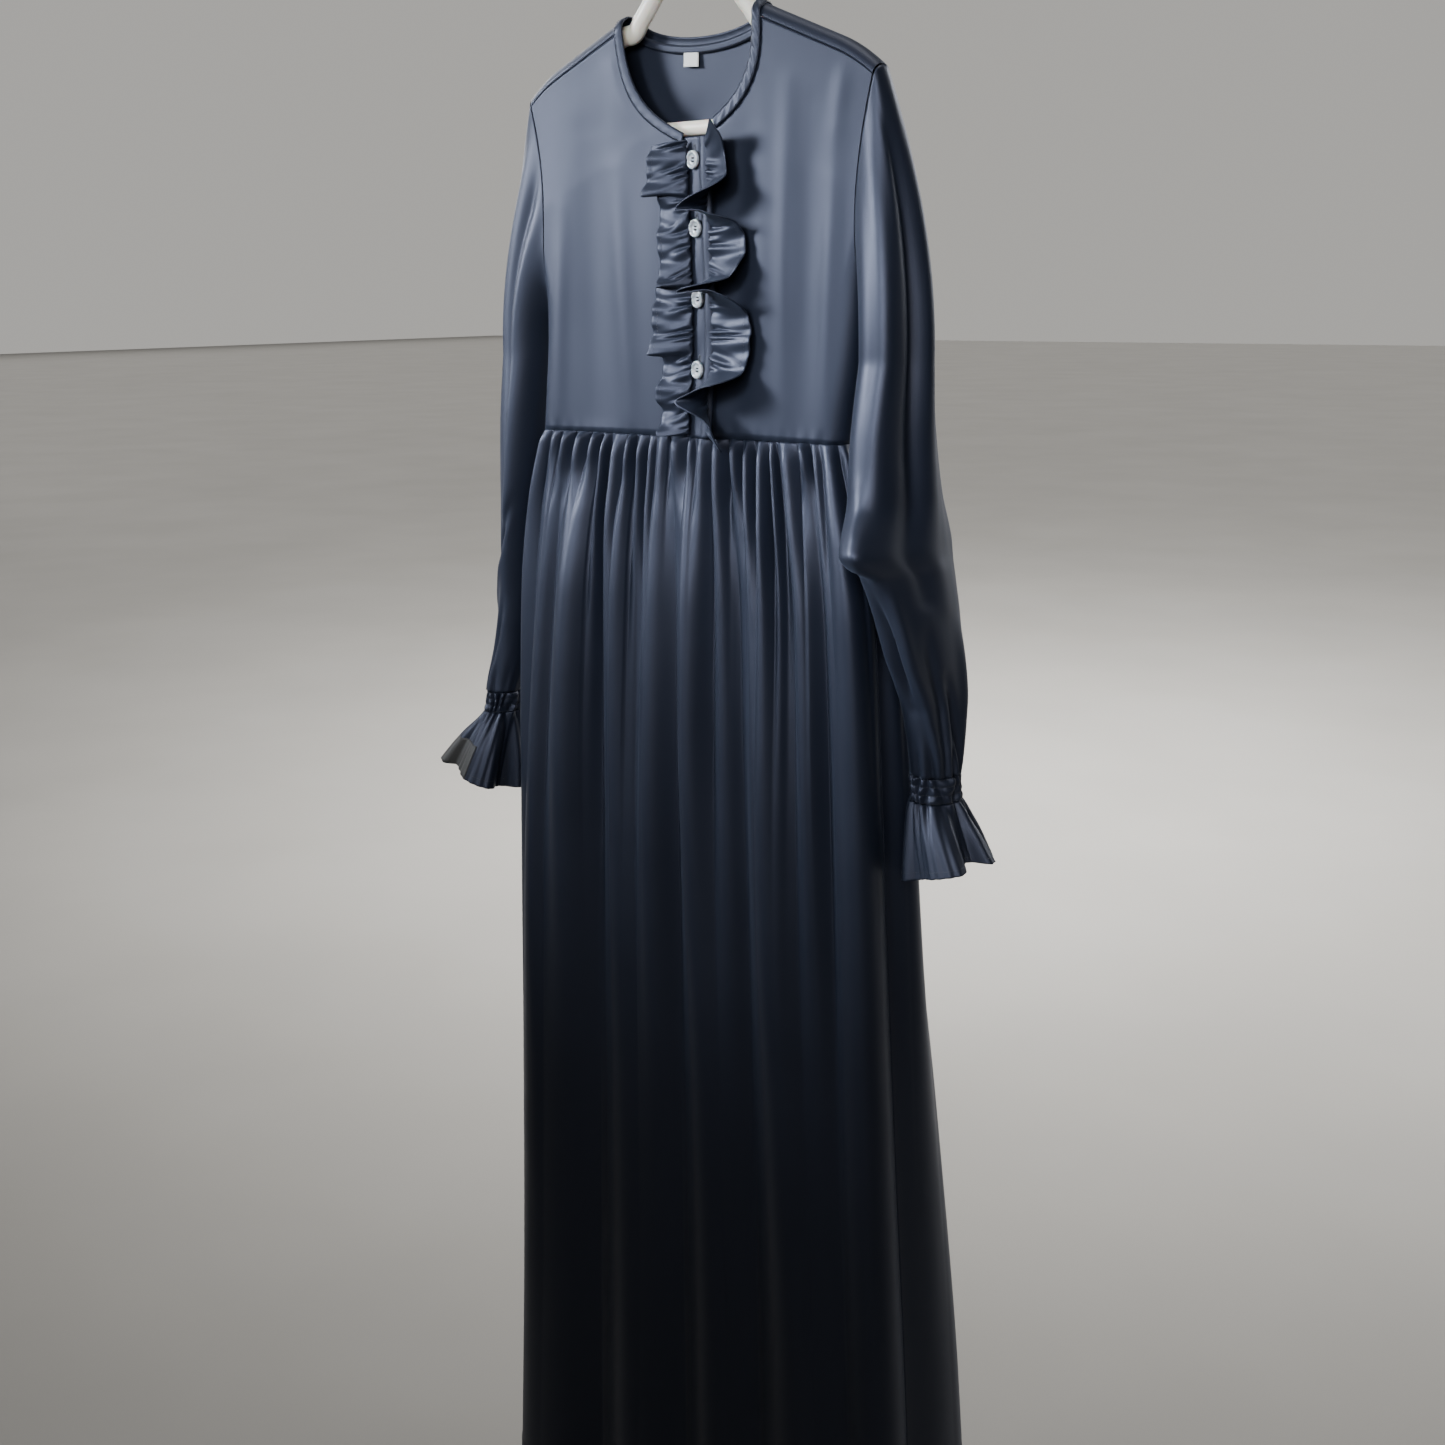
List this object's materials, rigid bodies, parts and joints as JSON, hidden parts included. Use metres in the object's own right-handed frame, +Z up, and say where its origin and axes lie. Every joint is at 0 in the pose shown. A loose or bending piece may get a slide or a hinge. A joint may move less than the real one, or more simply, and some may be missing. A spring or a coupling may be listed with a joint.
{
  "type": "abaya on a clothes hanger",
  "caption": "Long dark satin abaya with long elasticated sleeves, a ruffled button placket and a gathered full-length skirt, hung on a plain moulded hanger.",
  "frame": {"origin": "inside crown of the hanger's hook, where it hangs on a rail", "axes": "+Z up, -Y out of the wearer's front, +X to the wearer's left"},
  "size_m": [0.6259, 0.2154, 1.5861],
  "materials": {
    "satin": "smooth satin, midnight navy to black",
    "ivory": "cream moulded plastic",
    "steel": "plated wire",
    "pearl": "pale grey polished resin",
    "label_white": "bare printed-satin tape",
    "label_black": "bare woven tape"
  },
  "bodies": {
    "root": {"bodice_front_right": "satin", "bodice_front_left": "satin", "bodice_back": "satin", "sleeve_right": "satin", "sleeve_left": "satin", "cuff_band_right": "satin", "cuff_band_left": "satin", "cuff_ruffle_right": "satin", "cuff_ruffle_left": "satin", "skirt_front": "satin", "skirt_back": "satin", "placket_band": "satin", "placket_under": "satin", "placket_ruffle_right": "satin", "placket_ruffle_left": "satin", "neck_binding": "satin", "neck_band": "satin", "button_1": "pearl", "button_2": "pearl", "button_3": "pearl", "button_4": "pearl", "neck_label": "label_white", "cuff_label": "label_black", "hanger_arms": "ivory", "hanger_bar": "ivory", "hanger_hook": "steel"}
  },
  "joints": []
}
